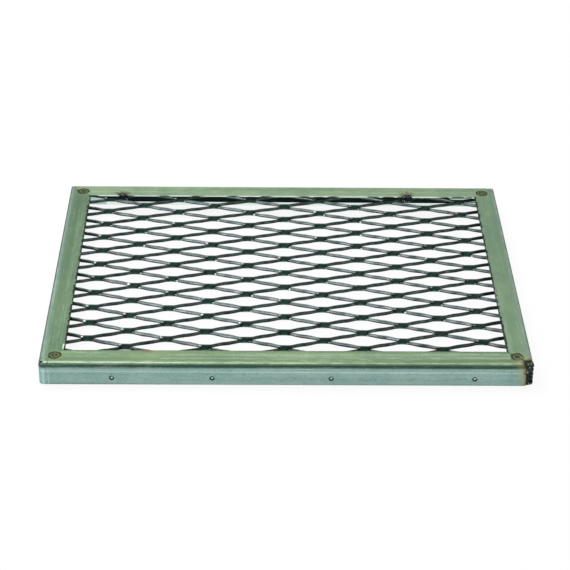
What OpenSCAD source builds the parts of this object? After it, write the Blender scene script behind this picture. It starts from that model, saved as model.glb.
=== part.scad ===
// Raised expanded-metal grating panel in a folded sheet-steel angle frame.
// Millimetres.  +X right (long side), +Y to the rear, +Z up.
// Origin: middle of the footprint, on the floor the skirt stands on.

/* [Frame] */
// overall length, side to side
frame_w = 380; // [340:1:420]
// overall depth, front to rear
frame_d = 290; // [260:1:320]
// height of the skirt, floor to top face
frame_h = 19; // [17:0.5:30]
// width of the top flange
flange_w = 19; // [17:0.5:24]
// thickness of the frame sheet
sheet_t = 1.5; // [1.2:0.1:2]
// outside radius of the bend between flange and skirt
bend_r = 3; // [2.2:0.1:4]
// outside radius where the skirt folds round a corner
corner_r = 4; // [2.8:0.1:6]
// radius of the relief notch at each folded corner
notch_r = 1.5; // [1:0.1:2]
// width of the open mitre joint at the welded corner
mitre_gap = 0.5; // [0.3:0.1:0.8]

/* [Skirt dimples] */
// diameter of the shallow marks in the front skirt
dimple_d = 3.6; // [3:0.1:4.5]
// depth of the marks
dimple_deep = 0.4; // [0.2:0.1:0.6]
// height of the marks above the floor
dimple_z = 6; // [5:0.5:9]

/* [Expanded mesh] */
// whole diamonds along the panel
mesh_cols = 6; // [5:1:7]
// strand rows across the panel
mesh_rows = 24; // [20:2:26]
// width of a strand
strand_w = 2.4; // [2:0.1:3]
// thickness of the mesh sheet
strand_t = 1.7; // [1.4:0.1:2]
// straight length of a bond, where strands cross
bond_l = 6.4; // [5:0.2:8]
// room between the cut side of the mesh and the skirt
side_gap = 3; // [2.5:0.5:5]
// room between the first bonds and the front skirt
front_gap = 4; // [4:0.2:8]
// room between the last bonds and the rear skirt
rear_gap = 7.6; // [6.4:0.2:9]
// turn of the mesh in its frame, degrees clockwise from above
mesh_skew = 0.6; // [0:0.1:0.6]
// depth the bonds are sunk into the flange by welding
weld_sink = 0.2; // [0.1:0.05:0.3]

/* [Rear bar] */
// height of the flat bar behind the mesh
bar_h = 11.5; // [9:0.5:13]
// thickness of the flat bar
bar_t = 2.5; // [2:0.1:3]
// distance from the left skirt to the bar
bar_gap_left = 29.5; // [5:0.5:60]
// distance from the right skirt to the bar
bar_gap_right = 36.5; // [5:0.5:60]
// slant of the bar's sheared right end
bar_slant = 2.5; // [0:0.5:4]

/* [Corner weld] */
// reach of the weld along each skirt from the corner
weld_leg = 5.5; // [4.5:0.5:7]
// thickness of the weld between the two skirt ends
weld_t = 2.4; // [2:0.1:3]
// radius of the swellings along the bead
lump_r = 2.3; // [1.8:0.1:2.4]
// number of swellings up the bead
lumps = 5; // [4:1:6]

/* [Hidden] */
// overlap that makes touching strands one piece
eps = 0.01;
inner_w = frame_w - 2 * sheet_t;
inner_d = frame_d - 2 * sheet_t;
window_w = frame_w - 2 * flange_w;
window_d = frame_d - 2 * flange_w;
// places of the dimples along the front skirt, from its middle
dimple_x = [-134, -57, 34.5, 145];

// pitch of the diamonds, bond centre to bond centre, long way and short way
mesh_w = inner_w - 2 * side_gap;
mesh_long = mesh_w / mesh_cols;
mesh_short = (inner_d - front_gap - rear_gap) / mesh_rows * 2;
// lean of the strands' broad faces from level
lean = acos(2 * strand_w / mesh_short);
strand_drop = mesh_short / 2 * sin(lean);
run_l = mesh_long / 2 - bond_l;
slope = atan(strand_drop / run_l);
edge_shift = strand_t / 2 * tan(slope / 2);
mesh_half = strand_w * sin(lean) + strand_t / 2 * cos(lean);
mesh_z = frame_h - sheet_t - mesh_half + weld_sink;
mesh_y0 = -inner_d / 2 + front_gap;

// ---------------------------------------------------------------- frame

// upright prism with rounded vertical edges
module rounded_block(w, d, h, r) {
    translate([-w / 2 + r, -d / 2, 0]) cube([w - 2 * r, d, h]);
    translate([-w / 2, -d / 2 + r, 0]) cube([w, d - 2 * r, h]);
    for (x = [-1, 1], y = [-1, 1])
        translate([x * (w / 2 - r), y * (d / 2 - r), 0])
            cylinder(h = h, r = r, $fn = 48);
}

// bar along X, w wide across Y, with both top edges rounded
module loaf_x(len, w, h, r) {
    translate([-len / 2, -w / 2, 0]) cube([len, w, h - r]);
    translate([-len / 2, -w / 2 + r, 0]) cube([len, w - 2 * r, h]);
    for (y = [-1, 1])
        translate([-len / 2, y * (w / 2 - r), h - r])
            rotate([0, 90, 0]) cylinder(h = len, r = r, $fn = 48);
}

// box with bent-over top edges and folded vertical corners
module folded_block(w, d, h, r_top, r_side) {
    intersection() {
        loaf_x(w + 2, d, h, r_top);
        rotate([0, 0, 90]) loaf_x(d + 2, w, h, r_top);
        rounded_block(w, d, h, r_side);
    }
}

// relief notch left where the flange was cut before folding
module corner_notch(sx, sy) {
    inset = bend_r * 0.75;
    translate([sx * (frame_w / 2 - inset), sy * (frame_d / 2 - inset), frame_h - bend_r])
        cylinder(h = bend_r + 1, r = notch_r, $fn = 24);
}

// flat-bottomed marks punched into the front skirt
module dimples() {
    for (x = dimple_x)
        translate([x, -frame_d / 2 - 1, dimple_z])
            rotate([-90, 0, 0]) cylinder(h = dimple_deep + 1, d = dimple_d, $fn = 24);
}

module angle_frame() {
    color([0.51, 0.62, 0.52])
    difference() {
        folded_block(frame_w, frame_d, frame_h, bend_r, corner_r);
        // hollow under the flange, open below
        translate([0, 0, -1])
            folded_block(inner_w, inner_d, frame_h - sheet_t + 1,
                         bend_r - sheet_t, corner_r - sheet_t);
        // window inside the flange
        translate([-window_w / 2, -window_d / 2, 0]) cube([window_w, window_d, frame_h + 1]);
        corner_notch(-1, -1);
        corner_notch(-1, 1);
        corner_notch(1, 1);
        dimples();
        // open joint at the fourth corner
        translate([frame_w / 2 - weld_leg, -frame_d / 2 - 1, -1])
            cube([weld_leg + 1, weld_leg + 1, frame_h + 2]);
        translate([window_w / 2, -window_d / 2, frame_h - sheet_t - 1])
            rotate([0, 0, -45]) translate([-1, -mitre_gap / 2, 0])
                cube([flange_w * sqrt(2) - weld_leg, mitre_gap, sheet_t + 2]);
    }
}

// ---------------------------------------------------------------- mesh

// edge of one zigzag strand: side = 1 is the upper edge, -1 the lower
function strand_edge(phase, side) = [
    for (i = [0 : mesh_cols * 2], e = [-1, 1])
        let (low = (i + phase) % 2,
             turn = (low == 0 ? 1 : -1) * side,
             half = bond_l / 2 + turn * edge_shift,
             mid = (i - mesh_cols) * mesh_long / 2,
             u = mid + e * half)
        [min(max(u, -mesh_w / 2), mesh_w / 2),
         -low * strand_drop + side * strand_t / 2]
];

function flipped(v) = [for (i = [len(v) - 1 : -1 : 0]) v[i]];

// one slit-and-stretched strand, running the length of the sheet
module strand_row(phase) {
    rotate([lean + 90, 0, 0]) translate([0, 0, -strand_w])
        linear_extrude(strand_w + eps)
            polygon(concat(strand_edge(phase, 1), flipped(strand_edge(phase, -1))));
}

module expanded_mesh() {
    color([0.24, 0.30, 0.27])
    rotate([0, 0, -mesh_skew])
        for (k = [0 : mesh_rows - 1])
            translate([0, mesh_y0 + k * mesh_short / 2, mesh_z]) strand_row(k % 2);
}

// ---------------------------------------------------------------- rear bar

module rear_bar() {
    left = -inner_w / 2 + bar_gap_left;
    right = inner_w / 2 - bar_gap_right;
    color([0.17, 0.21, 0.19])
    translate([0, inner_d / 2, frame_h - bend_r - bar_h])
        rotate([90, 0, 0])
            linear_extrude(bar_t)
                polygon([[left, 0], [right, 0],
                         [right - bar_slant, bar_h], [left, bar_h]]);
}

// ---------------------------------------------------------------- weld

// quarter-round bead that bridges the two skirt ends, open inside
module bead() {
    difference() {
        translate([0, 0, 0.3]) cylinder(h = frame_h - 0.5, r = weld_leg, $fn = 48);
        translate([0, 0, -1]) cylinder(h = frame_h - weld_t + 1, r = weld_leg - weld_t, $fn = 48);
        translate([-2 * weld_leg, -2 * weld_leg, -1])
            cube([2 * weld_leg, 4 * weld_leg, frame_h + 2]);
        translate([-2 * weld_leg, 0, -1]) cube([4 * weld_leg, 2 * weld_leg, frame_h + 2]);
    }
}

module corner_weld() {
    out = weld_leg - lump_r * 0.6;
    pitch = (frame_h - 2 * lump_r) / (lumps - 1);
    color([0.08, 0.09, 0.09])
    translate([frame_w / 2 - weld_leg, -frame_d / 2 + weld_leg, 0]) {
        bead();
        for (i = [0 : lumps - 1])
            rotate([0, 0, -45 + (i % 2 == 0 ? 4 : -4)])
                translate([out, 0, lump_r + i * pitch]) sphere(r = lump_r, $fn = 10);
    }
}

angle_frame();
expanded_mesh();
rear_bar();
corner_weld();
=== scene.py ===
"""Looks for the expanded-metal panel: materials, fine detail, light and camera.

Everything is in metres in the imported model's frame: +X right, +Y to the rear, +Z up.
Tints are linear colours.
"""

import math

import bmesh
import bpy
from mathutils import Matrix, Vector, noise


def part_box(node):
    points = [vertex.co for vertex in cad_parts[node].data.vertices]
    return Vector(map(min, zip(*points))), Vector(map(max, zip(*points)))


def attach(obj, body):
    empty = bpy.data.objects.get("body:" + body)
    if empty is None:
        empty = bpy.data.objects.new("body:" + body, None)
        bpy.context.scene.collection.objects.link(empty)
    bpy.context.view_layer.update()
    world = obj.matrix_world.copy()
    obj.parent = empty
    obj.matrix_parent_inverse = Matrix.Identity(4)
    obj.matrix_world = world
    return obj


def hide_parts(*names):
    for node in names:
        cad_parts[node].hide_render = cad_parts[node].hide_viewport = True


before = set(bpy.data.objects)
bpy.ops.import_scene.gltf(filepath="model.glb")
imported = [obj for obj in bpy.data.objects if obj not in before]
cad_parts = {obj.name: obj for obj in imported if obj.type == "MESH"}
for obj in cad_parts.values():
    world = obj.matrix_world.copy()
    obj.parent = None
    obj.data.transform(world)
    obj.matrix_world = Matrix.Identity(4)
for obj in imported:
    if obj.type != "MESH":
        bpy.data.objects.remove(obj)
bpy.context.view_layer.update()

MM = 0.001
SLIVER = 0.02 * MM           # a gap or an overlap too thin to see

# ------------------------------------------------------------------ sizes
frame_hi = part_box("angle_frame")[1]
mesh_lo, mesh_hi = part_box("expanded_mesh")
bar_lo, bar_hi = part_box("rear_bar")
HALF_W = frame_hi.x
HALF_D = frame_hi.y
TOP = frame_hi.z
FLANGE = 19 * MM
SHEET = 1.5 * MM
BEND_R = 3 * MM
CUT_X = HALF_W - FLANGE      # the flange's cut edges at the sides
CUT_Y = HALF_D - FLANGE      # and in front and at the rear
UNDERSIDE = TOP - SHEET      # of the flange

# the expanded mesh, as the solids have it
COLS = 6
ROWS = 24
SIDE_GAP = 3 * MM
FRONT_GAP = 4 * MM
REAR_GAP = 7.6 * MM
SKEW = math.radians(-0.6)    # how far the mesh is turned in its frame
MESH_W = 2 * (HALF_W - SHEET - SIDE_GAP)
LONG = MESH_W / COLS         # a diamond's long way, and its short way
SHORT = 2 * (2 * (HALF_D - SHEET) - FRONT_GAP - REAR_GAP) / ROWS
HALF_LONG = LONG / 2
FIRST_Y = -(HALF_D - SHEET) + FRONT_GAP
MESH_Z = (mesh_lo.z + mesh_hi.z) / 2
STRAND_W = 2.4 * MM
STRAND_T = 1.7 * MM
LEAN = math.acos(2 * STRAND_W / SHORT)       # slope of a strand's width above the level
DROP = SHORT / 2 * math.sin(LEAN)            # how far a strand goes, square to its width, between bonds

# how each strand departs from a straight bar
FLAT = 2.25 * MM             # half of a bond's straight length
FLAT_SPREAD = 1.3 * MM       # how far that strays from bond to bond
BEND = 4.2 * MM              # run over which a strand turns out of its bond
TWIST = math.radians(9)
TURN = 5.5 * MM              # distance from a bond's middle within which the twist comes in
FREE_FROM = 0.08             # share of a run beyond which an edge is free of the next strand
CROWN = 0.09 * MM            # how far the face falls back above its middle
WAVE = 0.55 * MM             # most that a strand strays from its line
SWELL_RIGHT = 0.12           # how much wider a strand is half way, if it runs to the rear right
SWELL_LEFT = 0.18            # and if it runs to the rear left
EDGE_R = 0.28 * MM
TOP_R = 0.42 * MM            # the upper front edge is rounded off most, by the shear

# marks left by making it
SPOT_INSET = 11.8 * MM
SPOT_R = 4.4 * MM
DIMPLE_Z = 6 * MM
DIMPLES = [-134 * MM, -57 * MM, 34.5 * MM, 145 * MM]

# weld metal: the bead up the corner, and the two tacks over the rear bar
WELD_LEG = 5.5 * MM
WELD_T = 2.4 * MM
WELD_PITCH = 3.6 * MM
TACK_Y = CUT_Y + 0.6 * MM
TACK_Z = 16.4 * MM
TACK_HALF_D = 2.1 * MM
TACK_HALF_H = 2.7 * MM
# name, middle along the panel, half length, and where in the noise its lumps are taken
TACKS = [
    ("tack_weld_left", -142.7 * MM, 5.4 * MM, Vector((1, 5, 2))),
    ("tack_weld_right", 110.4 * MM, 5.6 * MM, Vector((8, 3, 6))),
]


# ------------------------------------------------------------------ node helpers
class Nodes:
    """The node tree of a material or a world, with short calls for the nodes in it."""

    def __init__(self, owner):
        owner.use_nodes = True
        self.tree = owner.node_tree
        self.tree.nodes.clear()

    def node(self, kind, **props):
        n = self.tree.nodes.new(kind)
        for name, value in props.items():
            setattr(n, name, value)
        return n

    def put(self, socket, value):
        """Link another node's output to a socket, or set the socket to a plain value."""
        if isinstance(value, bpy.types.NodeSocket):
            self.tree.links.new(value, socket)
        else:
            socket.default_value = value

    def fill(self, n, *values):
        """Put values on a node's first sockets, and return its output."""
        for socket, value in zip(n.inputs, values):
            self.put(socket, value)
        return n.outputs[0]

    def math(self, op, a, b=0.0, c=0.0):
        return self.fill(self.node("ShaderNodeMath", operation=op), a, b, c)

    def both(self, a, b):
        """Product: where two masks hold, or a value scaled."""
        return self.math("MULTIPLY", a, b)

    def linear(self, value, factor, start):
        """factor * value + start."""
        return self.math("MULTIPLY_ADD", value, factor, start)

    def ragged(self, value, swing, amount):
        """The value, moved up and down by a noise, over amount in all."""
        return self.math("ADD", value, self.linear(swing, amount, -amount / 2))

    def xyz(self, vector):
        n = self.node("ShaderNodeSeparateXYZ")
        self.put(n.inputs[0], vector)
        return n.outputs[0], n.outputs[1], n.outputs[2]

    def join(self, x, y, z):
        return self.fill(self.node("ShaderNodeCombineXYZ"), x, y, z)

    def noise(self, vector, scale, detail=3.0, rough=0.5, distortion=0.0):
        n = self.node("ShaderNodeTexNoise")
        self.put(n.inputs["Vector"], vector)
        self.put(n.inputs["Scale"], scale)
        self.put(n.inputs["Detail"], detail)
        self.put(n.inputs["Roughness"], rough)
        self.put(n.inputs["Distortion"], distortion)
        return n.outputs["Fac"]

    def step(self, value, start, end, out_start=0.0, out_end=1.0, kind="SMOOTHSTEP"):
        """Passage from out_start to out_end as value goes from start to end."""
        n = self.node("ShaderNodeMapRange", interpolation_type=kind)
        return self.fill(n, value, start, end, out_start, out_end)

    def fall(self, value, start, end):
        """One up to start, then falling to nothing at end."""
        return self.step(value, start, end, 1.0, 0.0)

    def band(self, value, centre, half, soft):
        """One inside centre +- half, falling to nothing over soft."""
        off = self.math("ABSOLUTE", self.math("SUBTRACT", value, centre))
        return self.fall(off, half, half + soft)

    def mix(self, fac, a, b, blend="MIX"):
        n = self.node("ShaderNodeMix", data_type="RGBA", blend_type=blend)
        self.put(n.inputs[0], fac)
        for socket, value in ((n.inputs[6], a), (n.inputs[7], b)):
            self.put(socket, (*value, 1.0) if isinstance(value, tuple) else value)
        return n.outputs[2]

    def length(self, dx, dy):
        return self.math("SQRT", self.math("ADD", self.both(dx, dx), self.both(dy, dy)))

    def distance(self, x, y, cx, cy):
        return self.length(self.math("SUBTRACT", x, cx), self.math("SUBTRACT", y, cy))


class Shader(Nodes):
    """A Principled material, whose colour is painted on in layers."""

    def __init__(self, name, **sockets):
        self.material = bpy.data.materials.new(name)
        super().__init__(self.material)
        self.bsdf = self.node("ShaderNodeBsdfPrincipled")
        out = self.node("ShaderNodeOutputMaterial")
        self.put(out.inputs["Surface"], self.bsdf.outputs[0])
        for socket, value in sockets.items():
            self.set(socket.replace("_", " "), value)
        coords = self.node("ShaderNodeTexCoord")
        self.where = coords.outputs["Object"]
        self.normal = coords.outputs["Normal"]
        self.colour = None

    def set(self, socket, value):
        self.put(self.bsdf.inputs[socket], value)

    def paint(self, mask, amount, tint):
        """Lay a tint over the colour so far: by amount where the mask is one."""
        self.colour = self.mix(self.both(mask, amount), self.colour, tint)

    def bump(self, height, distance, strength):
        n = self.node("ShaderNodeBump")
        self.put(n.inputs["Height"], height)
        self.put(n.inputs["Distance"], distance)
        self.put(n.inputs["Strength"], strength)
        self.set("Normal", n.outputs[0])


# ------------------------------------------------------------------ frame steel
class FrameSheet(Shader):
    """Rolled sheet with green-grey zinc, streaked along each side, marked where it was welded."""

    # zinc, from its dark clouds to its pale ones; the walls are painted paler and bluer than the tops, as
    # painted light
    TOP_DARK, TOP_PALE = (0.185, 0.300, 0.180), (0.245, 0.360, 0.205)
    WALL_DARK, WALL_PALE = (0.262, 0.430, 0.398), (0.330, 0.505, 0.452)
    # painted light and shade: what the flange's colour is multiplied by on each member
    LEFT_SHADE, RIGHT_SHADE = (0.56, 0.64, 0.59), (0.88, 0.91, 0.92)
    FRONT_LEFT_SHADE, FRONT_RIGHT_SHADE = (0.92, 0.91, 0.80), (0.87, 0.88, 0.84)
    REAR_SHADE = (1.22, 1.16, 1.20)
    # rolling marks, and painted shade and highlights along the foot and the bends
    OUTER_STRIP = (0.20, 0.30, 0.27)
    SKIRT_SHADE = (0.17, 0.28, 0.26)
    SKIRT_DARK = (0.15, 0.25, 0.23)
    SKIRT_PALE = (0.50, 0.66, 0.61)
    SKIRT_LINE = (0.52, 0.70, 0.66)
    FOOT_DIRT = (0.11, 0.17, 0.155)
    TROUGH = (0.10, 0.15, 0.08)
    BURNISHED = (0.46, 0.58, 0.39)
    SHOULDER_DARK = (0.06, 0.09, 0.05)
    BEND_DARK = (0.010, 0.072, 0.042)
    STREAK_PALE = (0.46, 0.58, 0.48)
    STREAK_DARK = (0.110, 0.175, 0.120)
    SPECK_DARK = (0.10, 0.15, 0.10)
    SIDE_RIM = (0.03, 0.055, 0.045)
    # inner walls and cut edges, with painted reflection and shade
    WALL_SHADED, WALL_BRIGHT = (0.46, 0.62, 0.56), (0.84, 0.94, 0.91)
    WALL_HIGH = (0.42, 0.56, 0.49)
    CUT_BRIGHT = (0.80, 0.93, 0.86)
    CUT_DARK = (0.012, 0.02, 0.017)
    LIP_DARK = (0.004, 0.009, 0.007)
    HEM_STAIN = (0.10, 0.11, 0.075)
    SCRIBED = (0.02, 0.03, 0.03)
    BLACK = (0.004, 0.010, 0.008)
    # heat
    SPOT_STRAW = (0.27, 0.33, 0.12)
    SPOT_BROWN = (0.11, 0.155, 0.045)
    SPOT_RING = (0.006, 0.011, 0.002)
    TACK_STRAW = (0.14, 0.15, 0.05)
    TACK_CURL = (0.005, 0.012, 0.005)
    TACK_SOOT = (0.004, 0.012, 0.007)
    TACK_GRIT = (0.40, 0.46, 0.26)
    RUST = (0.23, 0.10, 0.05)
    BURN_STRAW = (0.34, 0.35, 0.15)
    BURN_BROWN = (0.14, 0.068, 0.035)
    BURN_BLACK = (0.005, 0.010, 0.009)
    # seams, and the painted shade and highlights of the dimples and corners
    SEAM = (0.02, 0.03, 0.02)
    CREASE = (0.03, 0.05, 0.035)
    DIMPLE_RIM = (0.006, 0.020, 0.018)
    DIMPLE_SHINE = (0.60, 0.78, 0.72)
    FRONT_NICK = (0.004, 0.012, 0.008)
    REAR_DARK = (0.015, 0.05, 0.045)
    REAR_SHINE = (0.42, 0.60, 0.56)
    EDGE_SHINE = (0.60, 0.74, 0.56)
    DENT_LIGHT = (0.48, 0.74, 0.71)

    def __init__(self):
        super().__init__("frame_sheet")
        self.x, self.y, self.z = self.xyz(self.where)
        self.nx, self.ny, self.nz = self.xyz(self.normal)
        self.ax = self.math("ABSOLUTE", self.x)
        self.ay = self.math("ABSOLUTE", self.y)

        # how far in from the nearest outer edge, and which of the members that puts a point on
        in_x = self.math("SUBTRACT", HALF_W, self.ax)
        in_y = self.math("SUBTRACT", HALF_D, self.ay)
        self.across = self.math("MINIMUM", in_x, in_y)
        self.side = self.math("LESS_THAN", in_x, in_y)
        self.not_side = self.math("SUBTRACT", 1.0, self.side)
        self.front_half = self.math("LESS_THAN", self.y, 0.0)
        self.up = self.step(self.nz, 0.35, 0.8)

        # the rounded bend along every outer edge
        near = self.fall(self.across, BEND_R, BEND_R + 0.4 * MM)
        self.bend = self.both(near, self.math("GREATER_THAN", self.z, TOP - BEND_R - 0.2 * MM))

        # faces that look in at the hollow, and those of them that look to the front or the rear
        outwards = self.math("ADD", self.both(self.nx, self.x), self.both(self.ny, self.y))
        self.inward = self.math("LESS_THAN", outwards, -0.02)
        self.facing = self.both(self.inward, self.step(self.math("ABSOLUTE", self.ny), 0.5, 0.8))

        self.blotch = self.noise(self.where, 310.0, 3.0, 0.6)
        self.speck = self.noise(self.where, 900.0, 2.0, 0.6)
        self.curl = self.noise(self.where, 480.0, 2.0, 0.5)
        self.fine = self.rolled(16.0, 1300.0, 3.0, 0.6)
        self.broad = self.rolled(4.0, 300.0, 2.0, 0.5)
        self.patch = self.rolled(90.0, 420.0, 3.0, 0.6)

    def rolled(self, slow, fast, detail, rough):
        """Noise drawn out into lines that run along each member."""
        along = self.math("ADD", self.both(self.side, self.y), self.both(self.not_side, self.x))
        over = self.math("ADD", self.both(self.side, self.x), self.both(self.not_side, self.y))
        where = self.join(self.both(along, slow), self.both(over, fast), self.both(self.z, fast))
        return self.noise(where, 1.0, detail, rough)

    def blob(self, cx, cy, rx, ry, core=0.35):
        """One at a point of the plan, falling to nothing at a ragged ellipse round it."""
        dx = self.math("DIVIDE", self.math("SUBTRACT", self.x, cx), rx)
        dy = self.math("DIVIDE", self.math("SUBTRACT", self.y, cy), ry)
        return self.fall(self.ragged(self.length(dx, dy), self.blotch, 0.9), core, 1.0)

    def zinc(self):
        """Cloudy base colour, with painted light and shade: the walls paler than the tops, and each member
        at a level of its own, the left one the darkest.
        """
        cloud = self.step(self.noise(self.where, 26.0, 5.0, 0.6, 0.4), 0.34, 0.68)
        top = self.mix(cloud, self.TOP_DARK, self.TOP_PALE)
        wall = self.mix(cloud, self.WALL_DARK, self.WALL_PALE)
        # painted light and shade, at a level of its own on each member
        to_right = self.step(self.x, -0.15, 0.15)
        sides = self.mix(to_right, self.LEFT_SHADE, self.RIGHT_SHADE)
        ends = self.mix(to_right, self.FRONT_LEFT_SHADE, self.FRONT_RIGHT_SHADE)
        ends = self.mix(self.step(self.y, -0.1, 0.1), ends, self.REAR_SHADE)
        top = self.mix(1.0, top, self.mix(self.side, ends, sides), "MULTIPLY")
        # painted light: the walls paler and bluer than the tops
        self.colour = self.mix(self.up, wall, top)

    def bands(self):
        """Bluer outer strip on the side flanges, tones along the skirt, and painted shadow along the lower
        edge, where it stands on the floor.
        """
        strip = self.step(self.across, 3.0 * MM, 6.5 * MM, 0.55, 0.0)
        self.paint(self.both(self.up, self.both(strip, self.side)), 1.0, self.OUTER_STRIP)
        skirt = self.math("SUBTRACT", 1.0, self.up)
        skirt = self.both(skirt, self.step(self.x, -0.12, 0.08, 0.6, 1.0))
        skirt = self.both(skirt, self.step(self.broad, 0.3, 0.6, 0.6, 1.0))
        for height, half, amount, tint in (
            (5.8 * MM, 5.0 * MM, 0.22, self.SKIRT_SHADE),
            (14.2 * MM, 0.3 * MM, 0.30, self.SKIRT_PALE),
            (13.1 * MM, 0.2 * MM, 0.35, self.SKIRT_DARK),
            (11.8 * MM, 0.4 * MM, 0.55, self.SKIRT_LINE),
        ):
            self.paint(self.both(skirt, self.band(self.z, height, half, 0.5 * MM)), amount, tint)
        # painted shadow along the foot, where the frame meets the floor
        self.paint(self.fall(self.z, 0.3 * MM, 1.3 * MM), 0.5, self.FOOT_DIRT)

    def bend_lines(self):
        """The bend: a painted highlight on its shoulder, painted shade below, and a band of painted shade
        behind it on the front flange.
        """
        # painted shade in a band behind the bend, on the front flange's top
        trough = self.band(self.across, 5.8 * MM, 1.4 * MM, 1.2 * MM)
        trough = self.both(trough, self.both(self.up, self.both(self.not_side, self.front_half)))
        self.paint(trough, 0.36, self.TROUGH)
        # painted highlight along the shoulder of the bend, strongest to the left
        shine = self.both(self.band(self.nz, 0.90, 0.06, 0.05), self.step(self.patch, 0.35, 0.6, 0.35, 1.0))
        shine = self.both(shine, self.step(self.x, -0.13, 0.0, 0.26, 0.56))
        self.paint(self.both(self.bend, shine), 1.0, self.BURNISHED)
        # painted shade below the highlight, and darker on the steep part of the bend
        self.paint(self.both(self.bend, self.band(self.nz, 0.72, 0.10, 0.06)), 0.35, self.SHOULDER_DARK)
        steep = self.both(self.fall(self.nz, 0.50, 0.66), self.step(self.nz, -0.5, -0.1))
        foot = self.step(self.x, -0.12, 0.0, TOP - 5.9 * MM, TOP - 5.0 * MM)
        foot = self.linear(self.blotch, 0.5 * MM, foot)
        self.paint(self.both(steep, self.step(self.z, foot, TOP - 2.9 * MM)), 0.93, self.BEND_DARK)

    def streaks(self):
        """Paler and darker rolling lines and dark specks, and painted shade on the side members' bend."""
        streak = 0.0
        for lines, share in ((self.fine, 0.45), (self.broad, 0.55), (self.patch, 0.38), (self.speck, 0.30)):
            streak = self.ragged(streak, lines, share)
        # the side flanges are the calmest, and then the skirts
        calm = self.linear(self.both(self.side, self.up), -0.45, 1.0)
        calm = self.both(calm, self.linear(self.up, 0.32, 0.68))
        self.paint(self.both(calm, self.step(streak, 0.0, 0.16)), 0.42, self.STREAK_PALE)
        self.paint(self.both(calm, self.step(streak, 0.0, -0.16)), 0.48, self.STREAK_DARK)
        self.paint(self.step(self.speck, 0.42, 0.30), 0.35, self.SPECK_DARK)
        # painted shade on the side members' outer bend
        rim = self.both(self.both(self.bend, self.side), self.fall(self.nz, 0.55, 0.85))
        self.paint(rim, 0.8, self.SIDE_RIM)

    def inner_faces(self):
        """Inner walls, painted pale as a reflection of the floor, palest along the bar and in front, with
        painted shade high up under the flange, and a painted shadow on the lower part of the cut edges over
        them.
        """
        at_bar = self.both(self.math("GREATER_THAN", self.x, bar_lo.x),
                           self.math("LESS_THAN", self.x, bar_hi.x))
        # painted reflection of the floor on the walls that look in at the hollow
        pale = self.mix(self.math("MAXIMUM", at_bar, self.front_half), self.WALL_SHADED, self.WALL_BRIGHT)
        # painted shade high on the walls, under the flange
        pale = self.mix(self.step(self.z, 7 * MM, 14 * MM), pale, self.WALL_HIGH)
        pale = self.mix(self.math("GREATER_THAN", self.z, UNDERSIDE), pale, self.CUT_BRIGHT)
        self.paint(self.facing, 0.95, pale)
        # painted shadow: black on the lower part of the front and rear cut edges, as far right as the bar's
        # right end
        under = self.both(self.facing, self.math("LESS_THAN", self.ay, CUT_Y + 1 * MM))
        under = self.both(under, self.fall(self.z, UNDERSIDE + 0.4 * MM, UNDERSIDE + 0.65 * MM))
        under = self.both(under, self.math("LESS_THAN", self.x, bar_hi.x))
        self.paint(under, 0.95, self.BLACK)
        # a dark line low on the rear wall, to the right of the bar
        scribed = self.both(self.facing, self.band(self.z, 4.3 * MM, 0.3 * MM, 0.3 * MM))
        self.paint(self.both(scribed, self.step(self.x, bar_hi.x - 2 * MM, bar_hi.x)), 0.95, self.SCRIBED)

    def cut_edges(self):
        """The flange's sheared edges: painted shade on those at the sides and in a ragged band beside them
        on top, and stained in front.
        """
        # painted shade on the side flanges' cut faces
        cut = self.both(self.inward, self.math("LESS_THAN", self.ax, CUT_X + 1 * MM))
        cut = self.both(cut, self.step(self.math("ABSOLUTE", self.nx), 0.5, 0.8))
        self.paint(cut, 0.95, self.CUT_DARK)
        # a ragged band of painted shade on top, along the side flanges' cut edges
        bite = self.linear(self.noise(self.where, 230.0, 2.0, 0.6), 4.2 * MM, -1.2 * MM)
        from_cut = self.math("SUBTRACT", self.math("SUBTRACT", self.ax, CUT_X), bite)
        lip = self.both(self.both(self.up, self.side), self.fall(from_cut, 0.0, 0.4 * MM))
        self.paint(lip, 0.95, self.LIP_DARK)
        hem = self.both(self.up, self.band(self.y, -CUT_Y - 0.3 * MM, 0.55 * MM, 0.4 * MM))
        hem = self.both(hem, self.step(self.blotch, 0.32, 0.55, 0.3, 1.0))
        hem = self.both(hem, self.math("LESS_THAN", self.ax, CUT_X))
        self.paint(hem, 0.7, self.HEM_STAIN)

    def spots(self):
        """Double rings of the spot welds near the four corners."""
        d = self.distance(self.ax, self.ay, HALF_W - SPOT_INSET, HALF_D - SPOT_INSET)
        d = self.ragged(d, self.blotch, 2.2 * MM)
        d = self.ragged(d, self.noise(self.where, 170.0, 2.0, 0.5), 3.0 * MM)
        self.paint(self.both(self.up, self.fall(d, SPOT_R, SPOT_R + 4.5 * MM)), 0.35, self.SPOT_STRAW)
        self.paint(self.both(self.up, self.fall(d, SPOT_R, SPOT_R + 1.2 * MM)), 0.65, self.SPOT_BROWN)
        broken = self.step(self.speck, 0.34, 0.54, 0.45, 1.0)
        outer = self.both(self.band(d, SPOT_R, 0.80 * MM, 0.45 * MM), broken)
        inner = self.both(self.band(d, SPOT_R * 0.38, 0.72 * MM, 0.45 * MM), broken)
        self.rings = self.both(self.up, self.math("MAXIMUM", outer, inner))
        self.paint(self.rings, 0.97, self.SPOT_RING)

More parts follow.
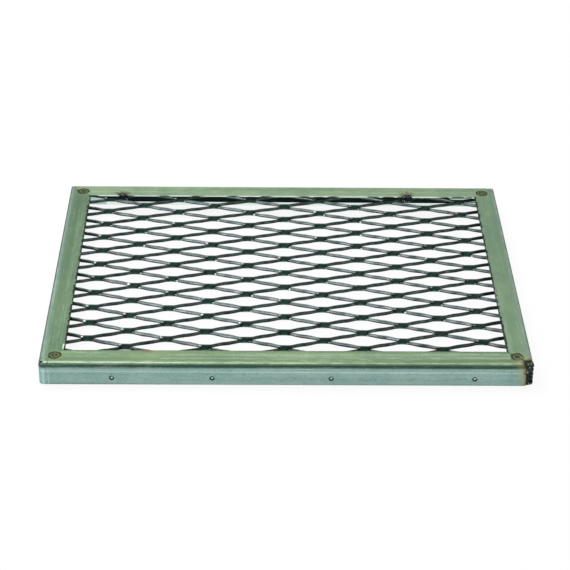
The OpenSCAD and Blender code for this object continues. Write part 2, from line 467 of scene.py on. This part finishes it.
    def tack_burns(self):
        """A straw tint with curls and grit round each tack weld, and soot at its middle."""
        for _, x, reach, _ in TACKS:
            halo = self.both(self.up, self.blob(x, TACK_Y + 2.5 * MM, 1.7 * reach, 1.3 * reach))
            self.paint(halo, 0.45, self.TACK_STRAW)
            self.paint(self.both(halo, self.band(self.curl, 0.5, 0.028, 0.02)), 0.95, self.TACK_CURL)
            soot = self.both(self.up, self.blob(x, TACK_Y + 0.6 * MM, 1.1 * reach, 0.72 * reach, 0.45))
            self.paint(soot, 0.95, self.TACK_SOOT)
            self.paint(self.both(halo, self.step(self.curl, 0.62, 0.66)), 0.8, self.TACK_GRIT)

    def other_burns(self):
        """A rust spot on the front flange; straw, brown and black tints round the corner weld."""
        rust = self.both(self.up, self.blob(-106.5 * MM, -127.4 * MM, 7 * MM, 2.6 * MM))
        self.paint(rust, 0.65, self.RUST)
        near = self.distance(self.x, self.y, HALF_W - 2.5 * MM, -HALF_D + 2.5 * MM)
        near = self.ragged(near, self.blotch, 5 * MM)
        # the tints reach a little further on the flange than down the skirt
        near = self.math("ADD", near, self.linear(self.z, -0.14, 0.14 * TOP))
        self.paint(self.fall(near, 6.5 * MM, 15 * MM), 0.5, self.BURN_STRAW)
        self.paint(self.fall(near, 5.2 * MM, 8.4 * MM), 0.75, self.BURN_BROWN)
        self.paint(self.fall(near, 4.2 * MM, 6.2 * MM), 0.97, self.BURN_BLACK)

    def seams(self):
        """Dark lines: the lips of the mitre joint, and painted shade in a broken crease round each corner.
        """
        mitre = self.math("SUBTRACT", self.math("SUBTRACT", HALF_W, self.x),
                          self.math("ADD", HALF_D, self.y))
        front_right = self.both(self.math("GREATER_THAN", self.x, 0.0), self.front_half)
        lips = self.both(self.both(self.band(mitre, 0.0, 0.5 * MM, 0.5 * MM), self.up), front_right)
        self.paint(self.both(lips, self.step(self.speck, 0.35, 0.55, 0.3, 1.0)), 0.85, self.SEAM)
        # painted shade in a broken crease round each corner
        crease = self.distance(self.ax, self.ay, HALF_W - BEND_R, HALF_D - BEND_R)
        crease = self.both(self.band(crease, 4.4 * MM, 0.2 * MM, 0.5 * MM), self.up)
        self.paint(self.both(crease, self.step(self.blotch, 0.42, 0.6)), 0.7, self.CREASE)

    def dimples(self):
        """Each dimple of the front skirt: painted shade in its rim, faint at the upper right, and a painted
        highlight in its middle.
        """
        outside = self.math("LESS_THAN", self.y, -HALF_D + 0.7 * MM)
        for at in DIMPLES:
            d = self.distance(self.x, self.z, at, DIMPLE_Z)
            faint = self.distance(self.x, self.z, at + 1.5 * MM, DIMPLE_Z + 0.9 * MM)
            # painted shade in the rim, fading towards the upper right
            rim = self.both(self.band(d, 1.5 * MM, 0.42 * MM, 0.3 * MM), outside)
            rim = self.both(rim, self.step(faint, 0.4 * MM, 1.1 * MM, 0.35, 1.0))
            self.paint(rim, 0.97, self.DIMPLE_RIM)
            # painted highlight in the middle
            self.paint(self.both(self.fall(d, 0.5 * MM, 1.0 * MM), outside), 0.6, self.DIMPLE_SHINE)

    def corners(self):
        """Painted shade and highlights at three corners and by the left flange's cut edge, and two painted
        highlights on the skirt's rounded left end.
        """
        # painted shade and highlights: middle, half sizes and tint of each
        for cx, cy, rx, ry, tint in (
            (-HALF_W + 2.2 * MM, -HALF_D + 1.9 * MM, 2.0 * MM, 1.8 * MM, self.FRONT_NICK),
            (-HALF_W + 3.0 * MM, HALF_D - 1.6 * MM, 3.4 * MM, 1.8 * MM, self.BLACK),
            (HALF_W - 5.5 * MM, HALF_D - 1.6 * MM, 4.2 * MM, 2.2 * MM, self.REAR_DARK),
            (HALF_W - 5.2 * MM, HALF_D - 2.3 * MM, 3.4 * MM, 1.5 * MM, self.REAR_SHINE),
            (-CUT_X - 1.5 * MM, -121 * MM, 0.9 * MM, 4.5 * MM, self.EDGE_SHINE),
            (-CUT_X - 0.1 * MM, -122 * MM, 1.2 * MM, 6.5 * MM, self.BLACK),
        ):
            mark = self.both(self.blob(cx, cy, rx, ry, 0.6), self.step(self.nz, 0.2, 0.5))
            self.paint(mark, 0.9, tint)
        # two painted highlights down the skirt's rounded left end
        wall = self.both(self.step(self.ny, -0.5, -0.8), self.step(self.z, TOP - 4.5 * MM, TOP - 6 * MM))
        for from_left, half, amount in ((3.7 * MM, 0.8 * MM, 0.5), (7.6 * MM, 0.25 * MM, 0.35)):
            light = self.both(wall, self.band(self.x, -HALF_W + from_left, half, 0.6 * MM))
            self.paint(light, amount, self.DENT_LIGHT)

    def build(self):
        self.zinc()
        self.bands()
        self.bend_lines()
        self.streaks()
        self.inner_faces()
        self.cut_edges()
        self.spots()
        self.tack_burns()
        self.other_burns()
        self.seams()
        self.dimples()
        self.corners()
        self.set("Base Color", self.colour)
        # the walls that look in at the hollow are more metallic and glossier, to mirror the pale floor
        self.set("Metallic", self.linear(self.facing, 0.24, 0.72))
        rough = self.linear(self.bend, 0.12, self.linear(self.fine, 0.16, 0.34))
        self.set("Roughness", self.linear(self.facing, -0.24, rough))
        height = self.math("ADD", self.both(self.fine, 0.5), self.both(self.speck, 0.3))
        height = self.math("ADD", height, self.both(self.patch, 0.4))
        height = self.math("SUBTRACT", height, self.both(self.rings, 1.5))
        self.bump(height, 0.06 * MM, 0.7)
        return self.material


# ------------------------------------------------------------------ mesh, bar and weld steel
class MeshScale(Shader):
    """Mill scale on the mesh, drawn in the strands' own directions: across each strand and along it, with
    light and shade painted on the strands and bonds.
    """

    SCALE_DARK, SCALE_PALE = (0.040, 0.062, 0.053), (0.125, 0.180, 0.168)
    CORE_DARK, CORE_PALE = (0.105, 0.118, 0.128), (0.318, 0.336, 0.358)
    CORE_DULL = (0.060, 0.078, 0.084)
    TURNING = (0.022, 0.042, 0.036)
    RUST = (0.085, 0.060, 0.040)
    SHADE = (0.050, 0.072, 0.064)
    SHEARED = (0.008, 0.028, 0.025)
    TWIST_SHADE = (0.014, 0.030, 0.028)
    BOND_GREEN = (0.050, 0.115, 0.088)
    BOND_PALE = (0.38, 0.55, 0.48)
    GLINT = (0.80, 0.92, 0.90)
    TOP_EDGE = (0.036, 0.050, 0.046)
    BLACK = (0.003, 0.008, 0.006)

    def __init__(self):
        super().__init__("mesh_scale", Metallic=0.95)
        x, self.y, self.z = self.xyz(self.where)
        _, ny, self.nz = self.xyz(self.normal)

        # col counts half diamonds from the left, and row counts strands from the front
        flat_x = self.math("ADD", self.both(x, math.cos(SKEW)), self.both(self.y, math.sin(SKEW)))
        flat_y = self.math("SUBTRACT", self.both(self.y, math.cos(SKEW)), self.both(x, math.sin(SKEW)))
        feed_y = self.both(self.math("SUBTRACT", flat_y, FIRST_Y), math.cos(LEAN))
        feed_z = self.both(self.math("SUBTRACT", self.z, MESH_Z), math.sin(LEAN))
        self.row = self.math("DIVIDE", self.math("ADD", feed_y, feed_z), STRAND_W)
        self.col = self.math("DIVIDE", self.math("ADD", flat_x, MESH_W / 2), HALF_LONG)
        self.across = self.math("FRACT", self.row)      # nothing on a strand's lower edge
        self.along = self.math("FRACT", self.col)       # nothing at its left bond

        # the broad faces, and those of strands that run to the rear left, which the side lamp lights
        self.face = self.step(ny, -0.1, -0.3)
        self.lit = self.both(self.odd(self.col, self.row), self.face)
        centred = self.math("FRACT", self.math("ADD", self.col, 0.5))
        from_bond = self.math("ABSOLUTE", self.math("SUBTRACT", centred, 0.5))
        self.bond = self.fall(from_bond, 0.05, 0.10)
        self.free = self.step(from_bond, 0.08, 0.16)
        self.open_run = self.step(from_bond, 0.12, 0.25)

        self.scale = self.noise(self.where, 240.0, 4.0, 0.6)
        self.pits = self.noise(self.where, 1400.0, 2.0, 0.6)
        self.streak = self.drift(3.2, 2.6, 0.0, 3.0, 0.55)
        self.pick = self.drift(1.9, 1.4, 3.0, 1.0, 0.5)
        self.each = self.drift(0.9, 0.8, 7.0, 1.0, 0.5)

    def odd(self, a, b):
        """One where the whole parts of a and b add up to an odd number."""
        half = self.both(self.math("ADD", self.math("FLOOR", a), self.math("FLOOR", b)), 0.5)
        return self.both(self.math("FRACT", half), 2.0)

    def drift(self, per_col, per_row, level, detail, rough):
        """Noise that changes from strand to strand."""
        where = self.join(self.both(self.col, per_col), self.both(self.row, per_row), level)
        return self.noise(where, 1.0, detail, rough)

    def faces(self):
        """Mill scale, with a painted highlight down the middle of the strands that the side lamp lights,
        and painted shade where they turn into a bond.
        """
        self.colour = self.mix(self.step(self.scale, 0.35, 0.68), self.SCALE_DARK, self.SCALE_PALE)
        # painted highlight down the middle of the lit strands
        core = self.mix(self.step(self.streak, 0.36, 0.64), self.CORE_DARK, self.CORE_PALE)
        core = self.mix(self.step(self.each, 0.52, 0.34, 0.0, 0.5), core, self.CORE_DULL)
        # painted shade where a lit strand turns into its bond
        self.paint(self.both(self.lit, self.linear(self.open_run, -0.6, 0.6)), 1.0, self.TURNING)
        self.paint(self.both(self.lit, self.open_run), 0.85, core)
        self.paint(self.step(self.noise(self.where, 75.0, 3.0, 0.6), 0.60, 0.74), 0.5, self.RUST)
        self.paint(self.step(self.noise(self.where, 55.0, 2.0, 0.5), 0.38, 0.66), 0.4, self.SHADE)

    def edges(self):
        """Painted shade along the strands' edges, stronger on the lit strands, and where the light leaves a
        twisted strand half way.
        """
        edge = self.math("MAXIMUM", self.fall(self.across, 0.27, 0.44), self.step(self.across, 0.80, 0.92))
        edge = self.both(self.both(edge, self.linear(self.lit, 0.45, 0.45)), self.face)
        self.paint(self.both(edge, self.free), 1.0, self.SHEARED)
        slant = self.math("SUBTRACT", self.across, self.linear(self.along, 2.6, -0.62))
        slant = self.both(self.band(slant, 0.0, 0.09, 0.12), self.lit)
        self.paint(self.both(slant, self.step(self.each, 0.35, 0.6)), 0.35, self.TWIST_SHADE)

    def bonds(self):
        """Bonds: green and dark, with a painted highlight along the lower edge, and a painted glint where a
        strand turns out.
        """
        self.paint(self.bond, 0.6, self.BOND_GREEN)
        front_strand = self.odd(self.math("ADD", self.col, 0.5), self.row)
        # painted highlight along the lower edge of each bond
        lower = self.both(self.both(self.bond, front_strand), self.step(self.across, 0.50, 0.22))
        self.paint(self.both(lower, self.step(self.streak, 0.4, 0.6, 0.35, 0.95)), 1.0, self.BOND_PALE)
        along = self.ragged(self.along, self.each, 0.10)
        # painted glints where a lit strand turns out of its bond
        for place, half, height in ((0.124, 0.010, 0.45), (0.878, 0.018, 0.64)):
            glint = self.band(along, place, half, 0.026)
            glint = self.both(glint, self.band(self.across, height, 0.10, 0.26))
            glint = self.both(self.both(glint, self.lit), self.step(self.pick, 0.45, 0.55))
            self.paint(glint, 0.9, self.GLINT)

    def dull_parts(self):
        """Painted shade on the sheared upper edges, and painted shadow on the last row, black where it
        meets the flange.
        """
        self.paint(self.step(self.nz, 0.75, 0.95), 0.6, self.TOP_EDGE)
        # painted shadow of the rear flange on the last row
        rear = self.both(self.step(self.y, CUT_Y - 5 * MM, CUT_Y - 4 * MM),
                         self.step(self.z, UNDERSIDE - 1.4 * MM, UNDERSIDE - 0.7 * MM))
        self.paint(rear, 0.93, self.BLACK)

    def build(self):
        self.faces()
        self.edges()
        self.bonds()
        self.dull_parts()
        self.set("Base Color", self.colour)
        self.set("Roughness", self.step(self.pits, 0.3, 0.7, 0.28, 0.40))
        self.bump(self.math("ADD", self.both(self.scale, 0.6), self.both(self.pits, 0.15)), 0.08 * MM, 0.5)
        return self.material


def bar_material():
    """Very dark mill scale, darkened further as painted shade from the flange above it, with faint lines
    along the bar.
    """
    dark, pale, worn = (0.002, 0.007, 0.005), (0.007, 0.016, 0.013), (0.020, 0.034, 0.029)
    s = Shader("bar_scale", Metallic=0.9, Specular_IOR_Level=0.2)
    x, y, z = s.xyz(s.where)
    rolled = s.noise(s.join(s.both(x, 30.0), y, s.both(z, 900.0)), 1.0)
    scale = s.noise(s.where, 180.0, 4.0, 0.6)
    s.colour = s.mix(s.step(scale, 0.35, 0.7), dark, pale)
    s.paint(rolled, 0.2, worn)
    s.set("Base Color", s.colour)
    s.set("Roughness", s.step(scale, 0.3, 0.7, 0.4, 0.6))
    s.bump(rolled, 0.05 * MM, 0.6)
    return s.material


def weld_material():
    """Burnt black weld metal, with painted glints in specks, a painted highlight on the corner bead's cap,
    and another down its left edge.
    """
    black, grey, bright = (0.003, 0.007, 0.007), (0.030, 0.048, 0.044), (0.42, 0.50, 0.47)
    cap_tint, seam_tint = (0.10, 0.12, 0.085), (0.50, 0.52, 0.44)
    s = Shader("weld_burnt", Metallic=0.95)
    x, _, z = s.xyz(s.where)
    lumps = s.noise(s.where, 620.0, 4.0, 0.65)
    bare = s.noise(s.where, 480.0, 3.0, 0.6, 0.8)
    s.colour = s.mix(s.step(lumps, 0.42, 0.62), black, grey)
    # painted glints in specks
    s.paint(s.step(bare, 0.58, 0.66), 0.8, bright)
    # painted highlight on the cap of the corner bead
    cap = s.both(s.step(z, TOP - 3.2 * MM, TOP - 1.8 * MM), s.step(x, HALF_W - 8 * MM, HALF_W - 6 * MM))
    s.paint(cap, 0.22, cap_tint)
    # painted highlight down the corner bead's left edge
    seam = s.both(s.band(x, HALF_W - 6.3 * MM, 0.3 * MM, 0.4 * MM), s.step(z, 6 * MM, 9 * MM))
    s.paint(s.both(seam, s.step(bare, 0.40, 0.50)), 0.8, seam_tint)
    s.set("Base Color", s.colour)
    s.set("Roughness", s.step(lumps, 0.35, 0.65, 0.12, 0.42))
    s.bump(lumps, 0.5 * MM, 0.9)
    return s.material


# ------------------------------------------------------------------ pieces
def add_object(name, data):
    thing = bpy.data.objects.new(name, data)
    bpy.context.scene.collection.objects.link(thing)
    return thing


def add_piece(name, bm, material):
    """A smooth-shaded piece of the panel, from a bmesh that it uses up."""
    data = bpy.data.meshes.new(name)
    bmesh.ops.recalc_face_normals(bm, faces=bm.faces)
    bm.to_mesh(data)
    bm.free()
    for face in data.polygons:
        face.use_smooth = True
    data.materials.append(material)
    piece = add_object(name, data)
    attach(piece, "root")
    return piece


def skin(bm, rings):
    """Faces from each closed ring of vertices to the next, with both ends closed."""
    for a, b in zip(rings, rings[1:]):
        for n in range(len(a)):
            m = (n + 1) % len(a)
            bm.faces.new((a[n], a[m], b[m], b[n]))
    bm.faces.new(rings[0])
    bm.faces.new(rings[-1])


# ------------------------------------------------------------------ mesh strands
def bond_flat(column, line, side):
    """Half length of the bond at a column, between strand lines line - 1 and line; side is -1 or 1."""
    return FLAT + FLAT_SPREAD * noise.noise(Vector((column * 5.31, line * 3.17, side * 2.3 + 9)))


def twist_share(u):
    """How far the strand has turned on itself: nothing in the middle of a bond, all of it TURN away."""
    cell = (u + MESH_W / 2) % HALF_LONG
    away = min(cell, HALF_LONG - cell) / TURN
    return math.sin(math.pi / 2 * min(away, 1.0))


def run_stations(flat_a, flat_b):
    """(u, depth, angle, share) of a strand from the middle of its near bond to that of its far bond.

    The depth is measured down the lean, from nothing to DROP, in both directions the same way.
    """
    run = HALF_LONG - flat_a - flat_b
    middle = run - 2 * BEND
    bend_steps = 5
    middle_steps = 7
    samples = 480            # of the slope over the whole run
    samples_between = 20     # and from one stop to the next

    def shape(u):
        """Slope as a share of the steepest: it eases in and out at the bonds, and calms half way."""
        inside = u - flat_a
        ramp = min(max(min(inside, run - inside) / BEND, 0.0), 1.0)
        calm = 1 - 0.4 * math.exp(-((inside / run - 0.5) / 0.17) ** 2)
        return ramp * ramp * (3 - 2 * ramp) * calm

    stops = [0.0, flat_a]
    stops += [flat_a + BEND * k / bend_steps for k in range(1, bend_steps + 1)]
    stops += [flat_a + BEND + middle * k / middle_steps for k in range(1, middle_steps)]
    stops += [HALF_LONG - flat_b - BEND * k / bend_steps for k in range(bend_steps, -1, -1)]
    stops += [HALF_LONG]

    total = sum(shape(HALF_LONG * (n + 0.5) / samples) for n in range(samples)) * HALF_LONG / samples
    steep = DROP / total
    path = []
    depth = 0.0
    last = 0.0
    for u in stops:
        gap = u - last
        for n in range(samples_between):
            depth += steep * shape(last + gap * (n + 0.5) / samples_between) * gap / samples_between
        last = u
        path.append((u, depth, math.atan(steep * shape(u)), (u - flat_a) / run))
    return path


def strand_line(k):
    """Stations (u, depth, angle, share from the front bond) of the k-th zigzag line across the panel."""
    stations = []
    for i in range(2 * COLS):
        from_front = (i + k) % 2 == 0
        line_a, line_b = (k, k + 1) if from_front else (k + 1, k)
        start = -MESH_W / 2 + i * LONG / 2
        run = run_stations(bond_flat(i, line_a, 1), bond_flat(i + 1, line_b, -1))
        if i:
            run = run[1:]    # it starts where the run before it ended
        for u, depth, angle, share in run:
            if from_front:
                stations.append((start + u, -depth, -angle, share))
            else:
                stations.append((start + u, depth - DROP, angle, 1 - share))
    return stations


def strand_section(w, t, low, high):
    """Nine corners across the strand, with its free edges rounded; low and high are 0 on a shared edge."""
    low_r = EDGE_R * low + SLIVER
    high_r = EDGE_R * high + SLIVER
    front_r = TOP_R * high + SLIVER
    face = t / 2 - CROWN * high
    bottom = -w / 2 - SLIVER * (1 - low)
    top = w / 2 + SLIVER * (1 - high)
    return [
        (bottom, -t / 2 + low_r), (bottom + low_r, -t / 2), (top - high_r, -t / 2), (top, -t / 2 + high_r),
        (top, face - front_r), (top - front_r, face), (0.05 * w, t / 2),
        (bottom + low_r, t / 2), (bottom, t / 2 - low_r),
    ]


def strand_ring(k, u, depth, angle, share):
    """The k-th line's section at one station: twisted, swollen and a little uneven."""
    lean = Vector((0, -math.sin(LEAN), math.cos(LEAN)))
    feed = Vector((0, math.cos(LEAN), math.sin(LEAN)))
    along = Vector((1, 0, 0))
    tangent = along * math.cos(angle) + lean * math.sin(angle)
    out = lean * math.cos(angle) - along * math.sin(angle)
    swing = Matrix.Rotation(-TWIST * twist_share(u), 3, tangent)
    a, b = swing @ feed, swing @ out

    free = min(max(share, 0.0), 1.0)
    swell = math.sin(math.pi * free) ** 2
    fat = SWELL_RIGHT if angle <= 0 else SWELL_LEFT
    seed = Vector((u * 90, k * 3.7, depth * 90))
    w = STRAND_W * (1 + fat * swell + 0.07 * noise.noise(seed))
    t = STRAND_T * (1 + 0.05 * swell + 0.08 * noise.noise(seed + Vector((7, 3, 1))))
    wave = WAVE * swell * noise.noise(Vector((u * 150, k * 2.9, 4.0)))
    origin = Vector((0, FIRST_Y + k * SHORT / 2, MESH_Z))
    centre = origin + along * u + lean * (depth + wave) + feed * (STRAND_W / 2)
    low = min(free / FREE_FROM, 1.0)
    high = min((1 - free) / FREE_FROM, 1.0)
    return [centre + a * p + b * q for p, q in strand_section(w, t, low, high)]


def expanded_mesh(material):
    """Every line of strands as a closed tube, which overlaps the next one at their bonds."""
    turn = Matrix.Rotation(SKEW, 4, "Z")
    bm = bmesh.new()
    for k in range(ROWS):
        rings = []
        for station in strand_line(k):
            rings.append([bm.verts.new(turn @ corner) for corner in strand_ring(k, *station)])
        skin(bm, rings)
    piece = add_piece("expanded_mesh_strands", bm, material)
    piece.data.set_sharp_from_angle(angle=math.radians(32))
    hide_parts("expanded_mesh")


# ------------------------------------------------------------------ weld metal
def corner_bead(material):
    """Lumpy column of weld that joins the two skirt ends at the front right corner."""
    centre = Vector((HALF_W - WELD_LEG, -HALF_D + WELD_LEG, 0))
    foot = 0.3 * MM
    head = TOP - 0.25 * MM
    inset = 0.01 * MM        # the bead stays this far inside the frame's outer faces
    quarter = -math.pi / 2
    levels = 64
    end_levels = 5           # over which each end is rounded
    spokes = 30
    back_spokes = 8
    bm = bmesh.new()
    rings = []
    for i in range(levels + 1):
        z = foot + (head - foot) * i / levels
        ends = min(i, levels - i) / end_levels
        shoulder = math.sqrt(1 - (1 - min(ends, 1.0)) ** 2)
        ring = []
        for j in range(spokes + 1):
            turn = quarter * j / spokes
            bulge = math.sin(2 * -turn)
            wave = abs(math.sin(math.pi * (z / WELD_PITCH + 0.35 * math.sin(turn * 2.3))))
            here = Vector((turn * 2.2, z / MM * 0.33, 4.0))
            rough = noise.noise(here * 1.6) * 0.75 + noise.noise(here * 4.1) * 0.4
            r = WELD_LEG + bulge * (0.25 + 1.15 * wave) * MM + (0.15 + 0.85 * bulge) * rough * MM
            r -= 1.1 * MM * (1 - shoulder)
            x = min(centre.x + r * math.cos(turn), HALF_W - inset)
            y = max(centre.y + r * math.sin(turn), -HALF_D + inset)
            ring.append(bm.verts.new((x, y, z)))
        # its back; at the level of the frame's bend the bead fills in nearly to its centre
        inner = WELD_LEG - WELD_T if z < TOP - BEND_R else 0.4 * MM
        for j in range(back_spokes, -1, -1):
            turn = quarter * j / back_spokes
            x = centre.x + inner * math.cos(turn)
            y = centre.y + inner * math.sin(turn)
            ring.append(bm.verts.new((x, y, z)))
        rings.append(ring)
    skin(bm, rings)
    piece = add_piece("corner_weld_bead", bm, material)
    piece.data.set_sharp_from_angle(angle=math.radians(50))
    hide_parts("corner_weld")


def tack_weld(name, x, reach, seed, material):
    """Small lumpy weld on the rear flange's cut edge."""
    middle = Vector((x, TACK_Y - 0.5 * MM, TACK_Z))
    bm = bmesh.new()
    bmesh.ops.create_icosphere(bm, subdivisions=4, radius=1.0)
    for v in bm.verts:
        d = v.co.normalized()
        lump = 1 + 0.45 * noise.noise(d * 1.9 + seed) + 0.30 * noise.noise(d * 4.3 + seed)
        v.co = middle + Vector((d.x * reach, d.y * TACK_HALF_D, d.z * TACK_HALF_H)) * lump
        v.co.z = min(v.co.z, TOP - SLIVER)
    add_piece(name, bm, material)


# ------------------------------------------------------------------ build
sheet_steel = FrameSheet().build()
mesh_steel = MeshScale().build()
bar_steel = bar_material()
weld_steel = weld_material()

for node, material in (("angle_frame", sheet_steel), ("rear_bar", bar_steel)):
    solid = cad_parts[node]
    solid.data.materials.clear()
    solid.data.materials.append(material)

expanded_mesh(mesh_steel)
corner_bead(weld_steel)
for name, x, reach, seed in TACKS:
    tack_weld(name, x, reach, seed, weld_steel)


# ------------------------------------------------------------------ stage
def backdrop_material(name, colour, share):
    """Plain diffuse, of which a share always shows as white to the camera and in reflections."""
    material = bpy.data.materials.new(name)
    t = Nodes(material)
    soft = t.node("ShaderNodeBsdfDiffuse")
    soft.inputs["Color"].default_value = (*colour, 1)
    glow = t.node("ShaderNodeEmission")
    glow.inputs["Color"].default_value = (1, 1, 1, 1)
    glow.inputs["Strength"].default_value = 1.0
    ray = t.node("ShaderNodeLightPath").outputs
    seen = t.math("MAXIMUM", ray["Is Camera Ray"], ray["Is Glossy Ray"])
    shown = t.fill(t.node("ShaderNodeMixShader"), t.both(seen, share), soft.outputs[0], glow.outputs[0])
    t.put(t.node("ShaderNodeOutputMaterial").inputs["Surface"], shown)
    return material


def pale_floor():
    reach = 6.0
    data = bpy.data.meshes.new("floor")
    bm = bmesh.new()
    corners = ((-reach, -reach), (reach, -reach), (reach, reach), (-reach, reach))
    bm.faces.new([bm.verts.new((x, y, 0)) for x, y in corners])
    bm.to_mesh(data)
    bm.free()
    data.materials.append(backdrop_material("floor_white", (0.9, 0.9, 0.9), 0.91))
    floor = add_object("floor", data)
    floor.location.z = -SLIVER


def studio_world():
    """Soft light from all round, strongest above and dimmest in front, where a photographer stands."""
    world = bpy.data.worlds.new("studio")
    bpy.context.scene.world = world
    t = Nodes(world)
    _, y, z = t.xyz(t.node("ShaderNodeTexCoord").outputs["Generated"])
    light = t.node("ShaderNodeBackground")
    level = t.math("ADD", t.step(y, 0.1, -0.6, 0.62, 0.36), t.step(z, 0.55, 1.0, 0.0, 0.35, "LINEAR"))
    t.put(light.inputs["Strength"], level)
    white = t.node("ShaderNodeBackground")
    white.inputs["Color"].default_value = (1, 1, 1, 1)
    to_camera = t.node("ShaderNodeLightPath").outputs["Is Camera Ray"]
    shown = t.fill(t.node("ShaderNodeMixShader"), to_camera, light.outputs[0], white.outputs[0])
    t.put(t.node("ShaderNodeOutputWorld").inputs["Surface"], shown)


def soft_lamp(name, position, size, power):
    """Area lamp, aimed at the middle of the panel."""
    lamp = bpy.data.lights.new(name, "AREA")
    lamp.shape = "RECTANGLE"
    lamp.size, lamp.size_y = size
    lamp.energy = power
    holder = add_object(name, lamp)
    holder.location = position
    holder.rotation_euler = (-Vector(position)).to_track_quat("-Z", "Y").to_euler()


def set_camera(position, angles, lens):
    """The scene's camera; its angles about X, Y and Z are in degrees, and its lens is in millimetres."""
    data = bpy.data.cameras.new("camera")
    data.sensor_width = 36
    data.lens = lens
    data.clip_start = 0.01
    data.clip_end = 50
    camera = add_object("camera", data)
    camera.location = position
    camera.rotation_euler = [math.radians(a) for a in angles]
    bpy.context.scene.camera = camera


pale_floor()
studio_world()
soft_lamp("key", position=(-0.85, 0.6, 1.7), size=(0.8, 0.8), power=18)
soft_lamp("side", position=(-1.6, -1.3, 0.36), size=(1.3, 0.5), power=8.5)
soft_lamp("fill", position=(1.6, -1.3, 0.36), size=(1.3, 0.5), power=1.8)
soft_lamp("top", position=(-0.1, 0.95, 1.85), size=(1.5, 1.0), power=15)
set_camera(position=(-0.02329, -1.30633, 0.79023), angles=(58.910, -0.697, -0.627), lens=115.125)
bpy.context.scene.view_settings.view_transform = "Standard"
